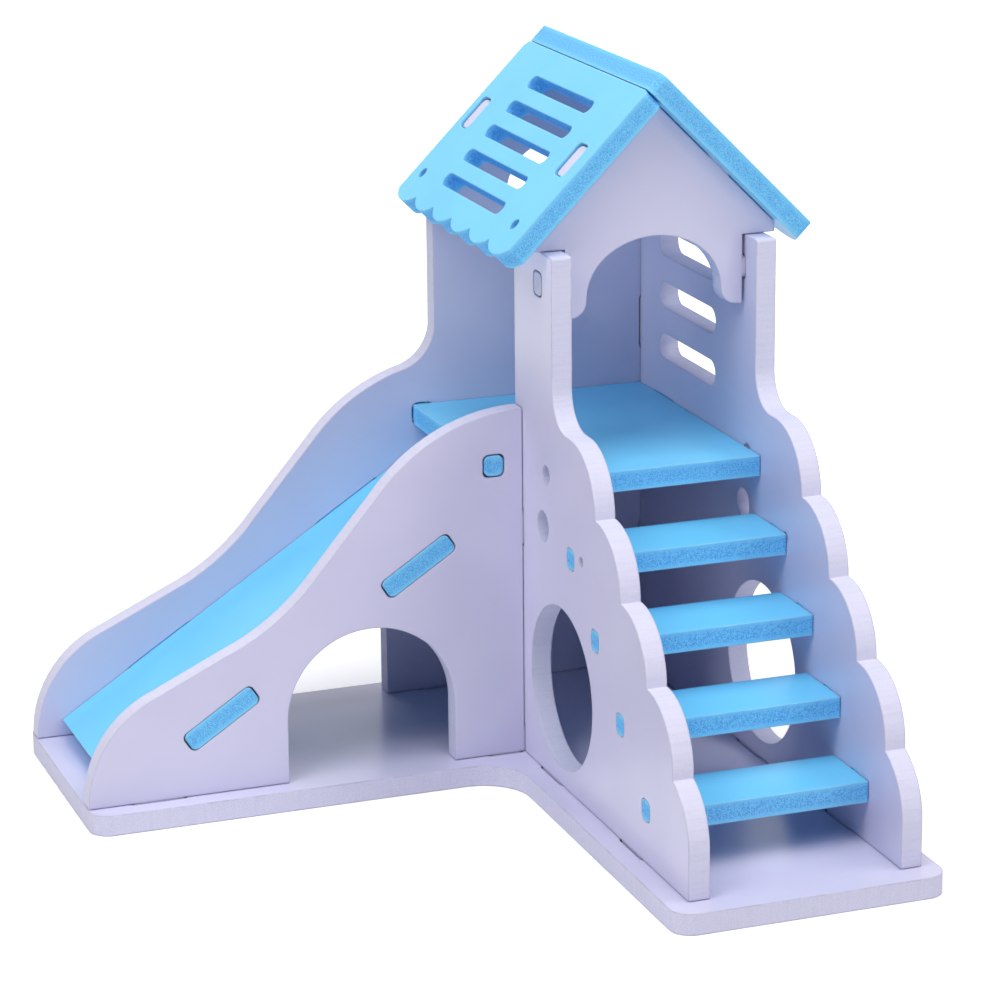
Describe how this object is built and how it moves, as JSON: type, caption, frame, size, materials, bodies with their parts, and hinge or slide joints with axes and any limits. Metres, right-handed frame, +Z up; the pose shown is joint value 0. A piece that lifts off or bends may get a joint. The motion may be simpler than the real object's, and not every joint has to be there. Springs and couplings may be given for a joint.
{
  "type": "hamster house",
  "caption": "Flat-pack hamster house with a gabled tower, a staircase between scalloped panels, a slide over an arched room and a roof that lifts off, in white and sky blue boards.",
  "frame": {"origin": "under the middle of the whole house's box, on the underside of the base plate", "axes": "+X from the foot of the slide towards the tower, +Y from the staircase towards the rear wall, +Z up"},
  "size_m": [0.1754, 0.168, 0.1711],
  "materials": {
    "white_board": "matt",
    "blue_board": "matt"
  },
  "bodies": {
    "house": {"base_plate": "white_board", "rear_wall": "white_board", "slide_wall": "white_board", "left_stair_panel": "white_board", "right_stair_panel": "white_board", "front_gable": "white_board", "platform": "blue_board", "slide_board": "blue_board", "step_1": "blue_board", "step_2": "blue_board", "step_3": "blue_board", "step_4": "blue_board"},
    "left_roof": {"left_roof_panel": "blue_board"},
    "right_roof": {"right_roof_panel": "blue_board"}
  },
  "joints": [
    {"name": "left_roof_lift", "type": "slide", "parent": "house", "child": "left_roof", "axis": [-0.7071, 0, 0.7071], "range_m": [0, 0.015]},
    {"name": "right_roof_lift", "type": "slide", "parent": "house", "child": "right_roof", "axis": [0.7071, 0, 0.7071], "range_m": [0, 0.015]}
  ]
}
